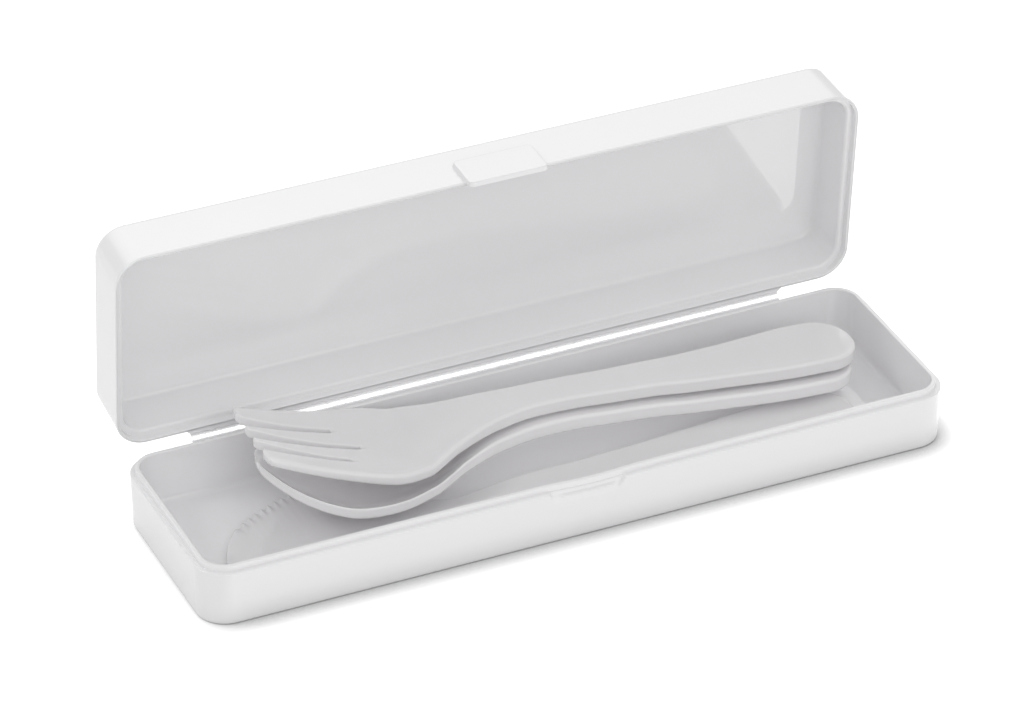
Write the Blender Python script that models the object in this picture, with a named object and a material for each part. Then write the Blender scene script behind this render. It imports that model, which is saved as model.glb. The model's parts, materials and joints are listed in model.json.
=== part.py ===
"""A reusable cutlery pack: a slim hinged plastic case that holds a fork, a spoon and a knife.

+Z is up and the snap tab faces -Y. The origin is on the table, under the middle of the case's base.
The lid stands open, at the joint's rest. Every piece of cutlery has its handle at +X.
"""

import math

import bmesh
import bpy
import numpy as np
from mathutils import Matrix, Vector

MM = 0.001

# Clearance between pieces that lie on each other
GAP = 0.3 * MM

# The case's outline, seen from above, is shared by the base and the lid
CASE_LENGTH = 190.0 * MM
CASE_WIDTH = 53.3 * MM
CASE_CORNER = 7.7 * MM

# Base tray, up to the ledge that the lid's rim comes down on
BASE_HEIGHT = 14.0 * MM
BASE_DRAFT = 0.34 * MM
BASE_EDGE_ROUND = 0.8 * MM
FLOOR_THICKNESS = 2.0 * MM
LEDGE_WIDTH = 1.2 * MM
LIP_THICKNESS = 1.1 * MM
LIP_HEIGHT = 1.5 * MM
TRAY_DRAFT = 0.4 * MM
TRAY_FILLET = 1.5 * MM

# Lid, from its rim to its top
LID_HEIGHT = 14.9 * MM
LID_DRAFT = 0.47 * MM
LID_EDGE_ROUND = 1.3 * MM
LID_TOP_THICKNESS = 1.6 * MM
LID_WALL = 2.5 * MM
LID_INNER_DRAFT = 0.3 * MM
LID_FILLET = 1.2 * MM
LIP_TO_RIM = 0.3 * MM
LIP_TO_REBATE = 0.5 * MM
RIM_WALL = LEDGE_WIDTH - LIP_TO_RIM
REBATE_DEPTH = LIP_HEIGHT + LIP_TO_REBATE - GAP
LIP_DRAFT = 0.05 * MM

# Film hinge along the rear wall, with a flange on each side of it
HINGE_OFFSET = 2.05 * MM
HINGE_Y = CASE_WIDTH / 2 + HINGE_OFFSET
HINGE_Z = BASE_HEIGHT + GAP / 2
LID_OPEN_ANGLE = math.radians(85.3)
FLANGE_END_ROOM = 17.0 * MM
FLANGE_LENGTH = CASE_LENGTH - 2 * FLANGE_END_ROOM
FLANGE_SETBACK = 1.1 * MM
FLANGE_THICKNESS = 0.95 * MM
FLANGE_CHAMFER = 1.6 * MM
FILM_THICKNESS = 0.4 * MM

# Snap tab near the middle of the lid's front wall, and the recess in the base that it covers
TAB_WIDTH = 22.0 * MM
TAB_SIDEWAYS = 1.4 * MM
TAB_CORNER = 3.2 * MM
TAB_ABOVE_RIM = 8.3 * MM
TAB_BELOW_RIM = 2.8 * MM
TAB_STAND_OUT = 1.3 * MM
TAB_STAND_OUT_AT_TOP = 0.7 * MM
TAB_BEVEL = 1.4 * MM
TAB_ROOT = 0.5 * MM
RECESS_WIDTH = 19.2 * MM
RECESS_DEPTH = 1.0 * MM
RECESS_HEIGHT = TAB_BELOW_RIM + 0.6 * MM
RECESS_SIDE_SLANT = 1.5 * MM
CATCH_HEIGHT = 0.6 * MM
CATCH_STAND_OUT = 0.4 * MM
CATCH_BELOW_LEDGE = 1.2 * MM

# Cutlery: all three pieces share one handle outline
HANDLE_WIDTH = 18.0 * MM
HANDLE_THICKNESS = 3.8 * MM
CUTLERY_YAW = math.radians(1.1)
HANDLE_END_ROOM = 8.3 * MM
SPOON_BACK = 2.0 * MM
KNIFE_BACK = 7.4 * MM
SPOON_FORWARD = 2.3 * MM
KNIFE_END_ROOM = 26.0 * MM
FORK_SHORTER = 5.0 * MM
NECK_EASE = 0.2 * MM
SPOON_SHORTER = 8.0 * MM

FORK_HEAD_WIDTH = 32.0 * MM
FORK_HEAD_THICKNESS = 3.2 * MM
FORK_WALL_GAP = 0.6 * MM
FORK_HEEL = 0.74
FORK_HEEL_RISE = 0.6 * MM
FORK_SWEEP = 1.6
TIP_TO_CEILING = 0.4 * MM
TINE_PITCH = 7.2 * MM
TINE_TIP_WIDTH = 2.2 * MM
TINE_THICKNESS = 2.6 * MM
SLOT_ROOT_WIDTH = 1.5 * MM
SLOT_END_WIDTH = 0.5 * MM
SLOT_STARTS = (0.853, 0.822, 0.853)

SPOON_BOWL_WIDTH = 33.6 * MM
SPOON_BOWL_THICKNESS = 2.9 * MM
SPOON_BOWL_RISE = 0.4 * MM
SPOON_WALL = 2.0 * MM
SPOON_WIDEST = 0.845
BOWL_ROUNDNESS = 2.3

KNIFE_HANDLE_THICKNESS = 4.2 * MM
KNIFE_BLADE_THICKNESS = 1.8 * MM
KNIFE_FRONT_GAP = 4.4 * MM
BLADE_BULGE = 23.2 * MM
BLADE_SPINE_BULGE = 6.6 * MM
TOOTH_DEPTH = 0.8 * MM
TOOTH_PITCH = 2.0 * MM
TEETH = (0.79, 0.95)

# Room inside the case
INNER_LENGTH = CASE_LENGTH - 2 * (LEDGE_WIDTH + LIP_THICKNESS)
INNER_HALF_WIDTH = CASE_WIDTH / 2 - LID_WALL - LID_INNER_DRAFT
RIM_Z = BASE_HEIGHT + GAP
CEILING_Z = RIM_Z + LID_HEIGHT - LID_TOP_THICKNESS

# Lengths and places of the cutlery, worked out from the room and from what each piece lies on
KNIFE_LENGTH = INNER_LENGTH - KNIFE_END_ROOM
FORK_LENGTH = KNIFE_LENGTH - FORK_SHORTER
SPOON_LENGTH = KNIFE_LENGTH - SPOON_SHORTER
KNIFE_BOTTOM = FLOOR_THICKNESS + GAP
KNIFE_TOP = KNIFE_BOTTOM + KNIFE_HANDLE_THICKNESS
BLADE_TOP = KNIFE_BOTTOM + KNIFE_BLADE_THICKNESS
SPOON_END_TOP = KNIFE_TOP + GAP + HANDLE_THICKNESS
FORK_END_TOP = SPOON_END_TOP + GAP + NECK_EASE + HANDLE_THICKNESS
FORK_END_X = INNER_LENGTH / 2 - HANDLE_END_ROOM
FORK_HEAD_Y = INNER_HALF_WIDTH - FORK_WALL_GAP - FORK_HEAD_WIDTH / 2
FORK_WIDEST = 0.8
FORK_END_Y = FORK_HEAD_Y - FORK_WIDEST * FORK_LENGTH * math.sin(CUTLERY_YAW)
KNIFE_Y = -INNER_HALF_WIDTH + KNIFE_FRONT_GAP + HANDLE_WIDTH / 2
SPOON_BOWL_DEPTH = SPOON_END_TOP + SPOON_BOWL_RISE - SPOON_BOWL_THICKNESS - BLADE_TOP - GAP
SPOON_BOWL_HOLLOW = SPOON_BOWL_DEPTH + SPOON_BOWL_THICKNESS - SPOON_WALL


def scaled(size, points):
    """(share of the length, size) points from (share, share of a size) points"""
    return tuple((share, value * size) for share, value in points)


# Half widths by share of the piece's length, from the handle's end
HANDLE_OUTLINE = scaled(
    HANDLE_WIDTH / 2,
    (
        (0.0, 1.0), (0.09, 1.0), (0.16, 0.91), (0.22, 0.8),
        (0.29, 0.7), (0.35, 0.62), (0.42, 0.567), (0.49, 0.544),
    ),
)
FORK_OUTLINE = HANDLE_OUTLINE + scaled(
    FORK_HEAD_WIDTH / 2,
    (
        (0.55, 0.315), (0.61, 0.39), (0.68, 0.588), (0.74, 0.863),
        (FORK_WIDEST, 1.0), (0.87, 0.912), (1.0, 0.744),
    ),
)
SPOON_OUTLINE = HANDLE_OUTLINE + scaled(
    SPOON_BOWL_WIDTH / 2,
    (
        (0.55, 0.315), (0.61, 0.375), (0.68, 0.565), (0.74, 0.79),
        (0.8, 0.965), (SPOON_WIDEST, 1.0), (1.0, 1.0),
    ),
)
BLADE_EDGE = HANDLE_OUTLINE + scaled(
    BLADE_BULGE,
    (
        (0.55, 0.222), (0.63, 0.237), (0.67, 0.345), (0.73, 0.776), (0.79, 0.991),
        (0.85, 1.0), (0.9, 0.888), (0.95, 0.681), (0.98, 0.431), (1.0, 0.13),
    ),
)
BLADE_SPINE = HANDLE_OUTLINE + scaled(
    BLADE_SPINE_BULGE,
    ((0.6, 0.76), (0.7, 0.94), (0.85, 1.0), (0.94, 0.85), (0.98, 0.545), (1.0, 0.15)),
)

# Rise of the top edge above the handle's end, by share of the length
HANDLE_RISE = scaled(
    MM,
    (
        (0.0, 0.0), (0.03, 0.3), (0.09, 0.75), (0.16, 1.0), (0.22, 1.4),
        (0.29, 2.0), (0.35, 2.85), (0.42, 3.5), (0.48, 4.2), (0.55, 4.55),
    ),
)
FORK_RISE = HANDLE_RISE + ((0.61, 4.1 * MM), (0.68, 2.5 * MM), (FORK_HEEL, FORK_HEEL_RISE))
SPOON_RISE = (
    HANDLE_RISE
    + scaled(MM, ((0.61, 4.0), (0.68, 2.5), (0.71, 1.3)))
    + ((0.745, SPOON_BOWL_RISE), (0.8, SPOON_BOWL_RISE))
    + scaled(MM, ((0.845, 0.8), (0.88, 1.5), (0.91, 2.9), (0.95, 5.4), (1.0, 9.6)))
)

# Hollow of the upper face, bulge of the lower face and height of the sides, by share of the length
HANDLE_DISH = ((0.0, 0.3 * MM), (0.1, 0.5 * MM), (0.5, 0.2 * MM))
FORK_DISH = HANDLE_DISH + ((0.62, 0.7 * MM), (0.75, 2.2 * MM), (0.85, 1.6 * MM), (1.0, 0.4 * MM))
FORK_UNDER = ((0.0, 0.0), (0.6, 0.0), (0.75, 1.7 * MM), (0.85, 1.4 * MM), (1.0, 0.3 * MM))
FORK_SIDE = (
    (0.0, HANDLE_THICKNESS), (0.6, HANDLE_THICKNESS), (0.78, FORK_HEAD_THICKNESS), (1.0, TINE_THICKNESS),
)
SPOON_DISH = (
    HANDLE_DISH
    + ((0.62, 0.8 * MM),)
    + scaled(SPOON_BOWL_HOLLOW, ((0.74, 0.9), (0.8, 1.0), (0.88, 0.92), (0.95, 0.6), (1.0, 0.12)))
)
SPOON_UNDER = scaled(
    SPOON_BOWL_DEPTH,
    ((0.0, 0.0), (0.6, 0.0), (0.74, 0.86), (0.8, 1.0), (0.88, 0.9), (0.95, 0.5), (1.0, 0.05)),
)
SPOON_SIDE = (
    (0.0, HANDLE_THICKNESS), (0.6, HANDLE_THICKNESS),
    (0.74, SPOON_BOWL_THICKNESS), (1.0, SPOON_BOWL_THICKNESS),
)
KNIFE_SIDE = (
    (0.0, KNIFE_HANDLE_THICKNESS), (0.5, KNIFE_HANDLE_THICKNESS),
    (0.66, KNIFE_BLADE_THICKNESS), (1.0, KNIFE_BLADE_THICKNESS),
)

# Fineness of the roundings, and places along a piece of cutlery that get a row of points
CORNER_SEGMENTS = 8
ROUND_SEGMENTS = 3
END_ANGLES = (7, 20, 34, 48, 62, 76, 90)
BOWL_TIP_ANGLES = (0, 18, 34, 48, 60, 70, 79, 86)
BLADE_TIP_SHARES = (0.962, 0.972, 0.982, 0.991, 1.0)
SLOT_ROW_STEPS = (0.0, 0.35 * MM, 0.75 * MM)
ROWS_PER_LENGTH = 40
FIRST_EVEN_ROW = 4
ROW_CLEARANCE = 0.006
BOWL_COLUMNS = 10


def clear_scene():
    for obj in list(bpy.data.objects):
        bpy.data.objects.remove(obj, do_unlink=True)


def collection(name):
    made = bpy.data.collections.new(name)
    bpy.context.scene.collection.children.link(made)
    return made


def plastic(name, shade, roughness):
    """White moulded plastic of one grey shade"""
    material = bpy.data.materials.new(name)
    material.use_nodes = True
    bsdf = material.node_tree.nodes["Principled BSDF"]
    bsdf.inputs["Base Color"].default_value = (shade, shade, shade, 1)
    bsdf.inputs["Roughness"].default_value = roughness
    bsdf.inputs["Metallic"].default_value = 0
    return material


def new_object(name, bm, home, material=None):
    mesh = bpy.data.meshes.new(name)
    bm.to_mesh(mesh)
    bm.free()
    obj = bpy.data.objects.new(name, mesh)
    home.objects.link(obj)
    if material:
        mesh.materials.append(material)
    return obj


def tool(name, bm, home, parent=None):
    """A shape that is only there to be cut from, or joined to, a piece"""
    obj = new_object(name, bm, home)
    obj.hide_render = True
    obj.display_type = "WIRE"
    obj.parent = parent
    return obj


def boolean(obj, operation, other):
    modifier = obj.modifiers.new(other.name, "BOOLEAN")
    modifier.operation = operation
    modifier.object = other


def box(low, high):
    """A bmesh cube between two corners"""
    bm = bmesh.new()
    bmesh.ops.create_cube(bm, size=1)
    size = [h - l for l, h in zip(low, high)]
    middle = [(l + h) / 2 for l, h in zip(low, high)]
    bmesh.ops.scale(bm, vec=size, verts=bm.verts)
    bmesh.ops.translate(bm, vec=middle, verts=bm.verts)
    return bm


def level_slopes(x, y):
    """Slopes at the points of a curve, level at each peak and plateau so that it never overshoots"""
    step = np.diff(y) / np.diff(x)
    slope = np.zeros(len(x))
    slope[0], slope[-1] = step[0], step[-1]
    for i, (before, after) in enumerate(zip(step, step[1:]), 1):
        if before * after > 0:
            slope[i] = 2 * before * after / (before + after)
    return slope


def smooth(points, at):
    """A smooth curve through (share, size) points, read at one share"""
    x, y = np.array(points, float).T
    slope = level_slopes(x, y)
    i = min(max(int(np.searchsorted(x, at)) - 1, 0), len(x) - 2)
    span = x[i + 1] - x[i]
    t = (at - x[i]) / span
    start = (1 + 2 * t) * (1 - t) ** 2 * y[i] + t * (1 - t) ** 2 * span * slope[i]
    end = t * t * (3 - 2 * t) * y[i + 1] + t * t * (t - 1) * span * slope[i + 1]
    return float(start + end)


def fillet_steps(radius):
    """(inset, drop) steps down a wall and round into the floor"""
    angles = [math.pi / 2 * k / ROUND_SEGMENTS for k in range(ROUND_SEGMENTS + 1)]
    return [
        (radius * (math.cos(a) - math.cos(b)), radius * (math.sin(b) - math.sin(a)))
        for a, b in zip(angles, angles[1:])
    ]


def round_edges(bm, edges, radius, segments):
    bmesh.ops.bevel(bm, geom=edges, offset=radius, segments=segments, profile=0.5, affect="EDGES")


def moulded_shell(height, draft, edge_round, mouth_steps):
    """A tray that stands on z 0. Its walls lean in towards the closed bottom, and its mouth is
    formed from the top face by (inset, drop) steps"""
    bm = box((-CASE_LENGTH / 2, -CASE_WIDTH / 2, 0), (CASE_LENGTH / 2, CASE_WIDTH / 2, height))
    uprights = [e for e in bm.edges if abs(e.verts[0].co.z - e.verts[1].co.z) > height / 2]
    round_edges(bm, uprights, CASE_CORNER, CORNER_SEGMENTS)
    low = [v for v in bm.verts if v.co.z < height / 2]
    bmesh.ops.scale(bm, vec=(1 - 2 * draft / CASE_LENGTH, 1 - 2 * draft / CASE_WIDTH, 1), verts=low)
    bottom = min(bm.faces, key=lambda f: f.calc_center_median().z)
    round_edges(bm, list(bottom.edges), edge_round, ROUND_SEGMENTS)
    mouth = max(bm.faces, key=lambda f: f.calc_center_median().z)
    for inset, drop in mouth_steps:
        bmesh.ops.inset_region(bm, faces=[mouth], thickness=inset, use_even_offset=True)
        bmesh.ops.translate(bm, vec=(0, 0, -drop), verts=list(mouth.verts))
    return bm


def flange(z_low):
    """A bar along the rear wall, chamfered at its ends"""
    half = FLANGE_LENGTH / 2
    root_y = CASE_WIDTH / 2 - LEDGE_WIDTH / 2
    bm = box((-half, root_y, z_low), (half, HINGE_Y - FLANGE_SETBACK, z_low + FLANGE_THICKNESS))
    for v in bm.verts:
        if v.co.y > CASE_WIDTH / 2:
            v.co.x -= math.copysign(FLANGE_CHAMFER, v.co.x)
    return bm


def base_front(z):
    """The front wall's outer face at a height below the ledge"""
    return -CASE_WIDTH / 2 + BASE_DRAFT * (BASE_HEIGHT - z) / BASE_HEIGHT


def catch_recess():
    """A wedge under the ledge, deepest at the top"""
    bottom = BASE_HEIGHT - RECESS_HEIGHT
    top = BASE_HEIGHT + GAP
    bm = box((-RECESS_WIDTH / 2, -CASE_WIDTH, bottom), (RECESS_WIDTH / 2, base_front(bottom), top))
    for v in bm.verts:
        if v.co.z > BASE_HEIGHT and v.co.y > -CASE_WIDTH / 2 - GAP:
            v.co.y = -CASE_WIDTH / 2 + RECESS_DEPTH
        if v.co.z < BASE_HEIGHT:
            v.co.x -= math.copysign(RECESS_SIDE_SLANT, v.co.x)
    return bm


def catch_bead():
    """The bar in the recess that the tab snaps over"""
    top = BASE_HEIGHT - CATCH_BELOW_LEDGE
    recess_face = base_front(top) + RECESS_DEPTH * (RECESS_HEIGHT - CATCH_BELOW_LEDGE) / RECESS_HEIGHT
    half = RECESS_WIDTH / 2 - RECESS_SIDE_SLANT
    low = (-half, recess_face - CATCH_STAND_OUT, top - CATCH_HEIGHT)
    return box(low, (half, recess_face + CATCH_STAND_OUT, top))


def make_case_base(home, tools, material):
    wall_drop = LIP_HEIGHT + BASE_HEIGHT - FLOOR_THICKNESS - TRAY_FILLET
    steps = [
        (LEDGE_WIDTH, 0),
        (LIP_DRAFT, -LIP_HEIGHT),
        (LIP_THICKNESS - LIP_DRAFT, 0),
        (TRAY_DRAFT, wall_drop),
    ]
    steps += fillet_steps(TRAY_FILLET)
    shell = moulded_shell(BASE_HEIGHT, BASE_DRAFT, BASE_EDGE_ROUND, steps)
    base = new_object("case_base", shell, home, material)
    boolean(base, "UNION", tool("base_flange", flange(BASE_HEIGHT - FLANGE_THICKNESS), tools))
    boolean(base, "DIFFERENCE", tool("catch_recess", catch_recess(), tools))
    boolean(base, "UNION", tool("catch_bead", catch_bead(), tools))
    return base


def snap_tab():
    """A rounded plate with slanting sides, thinner at the top"""
    front = -CASE_WIDTH / 2
    low, high = RIM_Z - TAB_BELOW_RIM, RIM_Z + TAB_ABOVE_RIM
    left, right = TAB_SIDEWAYS - TAB_WIDTH / 2, TAB_SIDEWAYS + TAB_WIDTH / 2
    bm = box((left, front - GAP / 2, low), (right, front + TAB_ROOT, high))
    corners = [e for e in bm.edges if abs(e.verts[0].co.y - e.verts[1].co.y) > TAB_ROOT]
    round_edges(bm, corners, TAB_CORNER, CORNER_SEGMENTS // 2)
    outer = min(bm.faces, key=lambda f: f.calc_center_median().y)
    bmesh.ops.inset_region(bm, faces=[outer], thickness=TAB_BEVEL, use_even_offset=True)
    for v in outer.verts:
        share = (v.co.z - low) / (high - low)
        v.co.y -= TAB_STAND_OUT + (TAB_STAND_OUT_AT_TOP - TAB_STAND_OUT) * share
    return bm


def make_case_lid(home, tools, material, hinge):
    wall_drop = LID_HEIGHT - REBATE_DEPTH - LID_TOP_THICKNESS - LID_FILLET
    shoulder = LID_WALL - RIM_WALL - LIP_DRAFT
    steps = [(RIM_WALL, 0), (LIP_DRAFT, REBATE_DEPTH), (shoulder, 0), (LID_INNER_DRAFT, wall_drop)]
    steps += fillet_steps(LID_FILLET)
    bm = moulded_shell(LID_HEIGHT, LID_DRAFT, LID_EDGE_ROUND, steps)
    bm.transform(Matrix.Translation((0, 0, RIM_Z + LID_HEIGHT)) @ Matrix.Rotation(math.pi, 4, "X"))
    to_hinge = Matrix.Translation((0, -HINGE_Y, -HINGE_Z))
    bm.transform(to_hinge)
    lid = new_object("case_lid", bm, home, material)
    lid.parent = hinge
    clear_of_base = box((-TAB_WIDTH, -CASE_WIDTH / 2 - GAP, 0), (TAB_WIDTH, 0, RIM_Z))
    tab_bm, flange_bm = snap_tab(), flange(RIM_Z)
    for shape in (tab_bm, flange_bm, clear_of_base):
        shape.transform(to_hinge)
    tab = tool("snap_tab", tab_bm, tools, hinge)
    boolean(tab, "DIFFERENCE", tool("tab_clearance", clear_of_base, tools, hinge))
    boolean(lid, "UNION", tool("lid_flange", flange_bm, tools, hinge))
    boolean(lid, "UNION", tab)
    return lid


def make_hinge_film(home, material):
    """The thin strip between the two flanges, straight while the lid stands open"""
    setback = FLANGE_SETBACK - GAP
    start = Vector((0, HINGE_Y - setback, HINGE_Z - GAP / 2 - FLANGE_THICKNESS / 2))
    lid_edge = Vector((0, -setback, GAP / 2 + FLANGE_THICKNESS / 2))
    end = Vector((0, HINGE_Y, HINGE_Z)) + Matrix.Rotation(-LID_OPEN_ANGLE, 3, "X") @ lid_edge
    along = end - start
    half_length = FLANGE_LENGTH / 2 - FLANGE_CHAMFER
    bm = box((-half_length, 0, -FILM_THICKNESS / 2), (half_length, along.length, FILM_THICKNESS / 2))
    turn = Matrix.Rotation(math.atan2(along.z, along.y), 4, "X")
    bm.transform(Matrix.Translation(start) @ turn)
    return new_object("hinge_film", bm, home, material)


def plate(top, bottom, is_solid):
    """A closed solid between two grids of points, [row][column], where is_solid(row, column) says so"""
    bm = bmesh.new()
    rows, columns = len(top) - 1, len(top[0]) - 1
    cells = [(i, j) for i in range(rows) for j in range(columns) if is_solid(i, j)]
    used = sorted({(i + a, j + b) for i, j in cells for a in (0, 1) for b in (0, 1)})
    upper = {node: bm.verts.new(top[node[0]][node[1]]) for node in used}
    lower = {node: bm.verts.new(bottom[node[0]][node[1]]) for node in used}
    solid = set(cells)
    for i, j in cells:
        ring = [(i, j), (i + 1, j), (i + 1, j + 1), (i, j + 1)]
        beyond = [(i, j - 1), (i + 1, j), (i, j + 1), (i - 1, j)]
        bm.faces.new([upper[node] for node in ring])
        bm.faces.new([lower[node] for node in reversed(ring)])
        for k, neighbour in enumerate(beyond):
            if neighbour not in solid:
                a, b = ring[k], ring[(k + 1) % 4]
                bm.faces.new([upper[a], lower[a], lower[b], upper[b]])
    bmesh.ops.recalc_face_normals(bm, faces=bm.faces)
    return bm


def rounded_end(length):
    """Shares of the length at which a half-round handle end needs a row"""
    radius = HANDLE_WIDTH / 2
    return [radius * (1 - math.cos(math.radians(a))) / length for a in END_ANGLES]


def even_rows(last):
    """Evenly spaced shares of the length, from the end of the round handle end to the last"""
    return [k / ROWS_PER_LENGTH for k in range(FIRST_EVEN_ROW, round(last * ROWS_PER_LENGTH) + 1)]


def half_width(outline, share, length):
    """The outline's half width, rounded off at the handle's end"""
    radius = HANDLE_WIDTH / 2
    to_centre = radius - share * length
    if to_centre <= 0:
        return smooth(outline, share)
    return math.sqrt(radius**2 - to_centre**2)


def place(obj, x, y, z, yaw):
    obj.location = (x, y, z)
    obj.rotation_euler = (0, 0, -yaw)


def slot_half_width(slot, share):
    """Half the gap between two tines: a narrow round end, then slowly wider towards the tips"""
    start = SLOT_STARTS[slot]
    if share <= start:
        return SLOT_END_WIDTH / 2
    past = (share - start) * FORK_LENGTH
    root = SLOT_ROOT_WIDTH / 2
    if past < root:
        return max(SLOT_END_WIDTH / 2, math.sqrt(root**2 - (root - past) ** 2))
    tip = (TINE_PITCH - TINE_TIP_WIDTH) / 2
    return root + (tip - root) * ((share - start) / (1 - start)) ** 2


def fork_rise(share):
    if share <= FORK_HEEL:
        return smooth(FORK_RISE, share)
    tip_rise = CEILING_Z - TIP_TO_CEILING - FORK_END_TOP
    swept = ((share - FORK_HEEL) / (1 - FORK_HEEL)) ** FORK_SWEEP
    return FORK_HEEL_RISE + (tip_rise - FORK_HEEL_RISE) * swept


def fork_columns(share, half):
    """Places across the fork: each tine has two strips, and there is one strip for each slot"""
    narrowing = min(1.0, 2 * half / FORK_HEAD_WIDTH)
    edges = [-half]
    for slot in range(len(SLOT_STARTS)):
        centre = (slot - 1) * TINE_PITCH * narrowing
        gap = slot_half_width(slot, share) * narrowing
        edges += [centre - gap, centre + gap]
    edges.append(half)
    across = []
    for low, high in zip(edges[::2], edges[1::2]):
        across += [low, (low + high) / 2, high]
    return across


def make_fork(home, material):
    ends = rounded_end(FORK_LENGTH)
    slot_rows = [start + step / FORK_LENGTH for start in set(SLOT_STARTS) for step in SLOT_ROW_STEPS]
    others = [s for s in even_rows(1.0) if all(abs(s - r) > ROW_CLEARANCE for r in slot_rows)]
    shares = sorted(ends + slot_rows + others)
    top, bottom = [], []
    for share in shares:
        half = half_width(FORK_OUTLINE, share, FORK_LENGTH)
        rise = fork_rise(share)
        x = -share * FORK_LENGTH
        upper, lower = [], []
        for y in fork_columns(share, half):
            hollow = 1 - (y / half) ** 2
            upper.append((x, y, rise - smooth(FORK_DISH, share) * hollow))
            lower.append((x, y, rise - smooth(FORK_SIDE, share) - smooth(FORK_UNDER, share) * hollow))
        top.append(upper)
        bottom.append(lower)

    slot_start_rows = [shares.index(start) for start in SLOT_STARTS]

    def is_solid(row, column):
        slot, strip = divmod(column, 3)
        return strip < 2 or row < slot_start_rows[slot]

    fork = new_object("fork", plate(top, bottom, is_solid), home, material)
    place(fork, FORK_END_X, FORK_END_Y, FORK_END_TOP, CUTLERY_YAW)
    return fork


def bowl_half_width(share):
    """The spoon's half width: the outline up to the widest place, then half an ellipse to the tip"""
    if share <= SPOON_WIDEST:
        return half_width(SPOON_OUTLINE, share, SPOON_LENGTH)
    out = (share - SPOON_WIDEST) / (1 - SPOON_WIDEST)
    return SPOON_BOWL_WIDTH / 2 * math.sqrt(max(1 - out * out, 0))


def make_spoon(home, material):
    tip_rows = [SPOON_WIDEST + (1 - SPOON_WIDEST) * math.sin(math.radians(a)) for a in BOWL_TIP_ANGLES]
    last_even = SPOON_WIDEST - 1 / ROWS_PER_LENGTH
    shares = rounded_end(SPOON_LENGTH) + even_rows(last_even) + tip_rows
    across = [2 * k / BOWL_COLUMNS - 1 for k in range(BOWL_COLUMNS + 1)]
    top, bottom = [], []
    for share in shares:
        half = bowl_half_width(share)
        rise = smooth(SPOON_RISE, share)
        dish, under, side = (smooth(table, share) for table in (SPOON_DISH, SPOON_UNDER, SPOON_SIDE))
        x = -share * SPOON_LENGTH
        hollows = [1 - abs(u) ** BOWL_ROUNDNESS for u in across]
        top.append([(x, u * half, rise - dish * h) for u, h in zip(across, hollows)])
        bottom.append([(x, u * half, rise - side - under * h) for u, h in zip(across, hollows)])
    spoon = new_object("spoon", plate(top, bottom, lambda row, column: True), home, material)
    place(spoon, FORK_END_X - SPOON_BACK, FORK_END_Y - SPOON_FORWARD, SPOON_END_TOP, CUTLERY_YAW)
    return spoon


def tooth(share):
    """How far the cutting edge is cut back between two teeth"""
    if not TEETH[0] <= share <= TEETH[1]:
        return 0
    return TOOTH_DEPTH * abs(math.sin(math.pi * (share - TEETH[0]) * KNIFE_LENGTH / TOOTH_PITCH))


def make_knife(home, material):
    tooth_step = TOOTH_PITCH / 2 / KNIFE_LENGTH
    tooth_rows = [TEETH[0] + k * tooth_step for k in range(int((TEETH[1] - TEETH[0]) / tooth_step) + 1)]
    last_even = TEETH[0] - 1 / ROWS_PER_LENGTH
    shares = rounded_end(KNIFE_LENGTH) + even_rows(last_even) + tooth_rows + list(BLADE_TIP_SHARES)
    top, bottom = [], []
    for share in sorted(set(shares)):
        edge = half_width(BLADE_EDGE, share, KNIFE_LENGTH) - tooth(share)
        spine = half_width(BLADE_SPINE, share, KNIFE_LENGTH)
        x = -share * KNIFE_LENGTH
        across = [-spine, -spine / 2, 0, edge / 2, edge]
        side = smooth(KNIFE_SIDE, share)
        top.append([(x, y, side) for y in across])
        bottom.append([(x, y, 0) for y in across])
    knife = new_object("knife", plate(top, bottom, lambda row, column: True), home, material)
    place(knife, FORK_END_X - KNIFE_BACK, KNIFE_Y, KNIFE_BOTTOM, 0)
    return knife


def main():
    clear_scene()
    pack = collection("cutlery_pack")
    tools = collection("cutters")
    hinge = bpy.data.objects.new("lid_hinge_axis", None)
    pack.objects.link(hinge)
    hinge.location = (0, HINGE_Y, HINGE_Z)
    hinge.rotation_euler = (-LID_OPEN_ANGLE, 0, 0)
    make_case_base(pack, tools, plastic("case_white", 0.85, 0.35))
    make_case_lid(pack, tools, plastic("lid_white", 0.85, 0.35), hinge)
    make_hinge_film(pack, plastic("film_white", 0.92, 0.3))
    make_fork(pack, plastic("fork_white", 0.72, 0.3))
    make_spoon(pack, plastic("spoon_white", 0.7, 0.3))
    make_knife(pack, plastic("knife_white", 0.74, 0.3))


main()
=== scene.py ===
"""The looks of a cutlery pack: a slim hinged case of white moulded plastic with a fork, a spoon and a knife.

Metres, +Z up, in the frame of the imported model. The snap tab faces -Y and the handles lie at +X.
"""

import json
import math

import bmesh
import bpy
import numpy as np
from mathutils import Matrix, Vector
from mathutils.kdtree import KDTree


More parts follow.
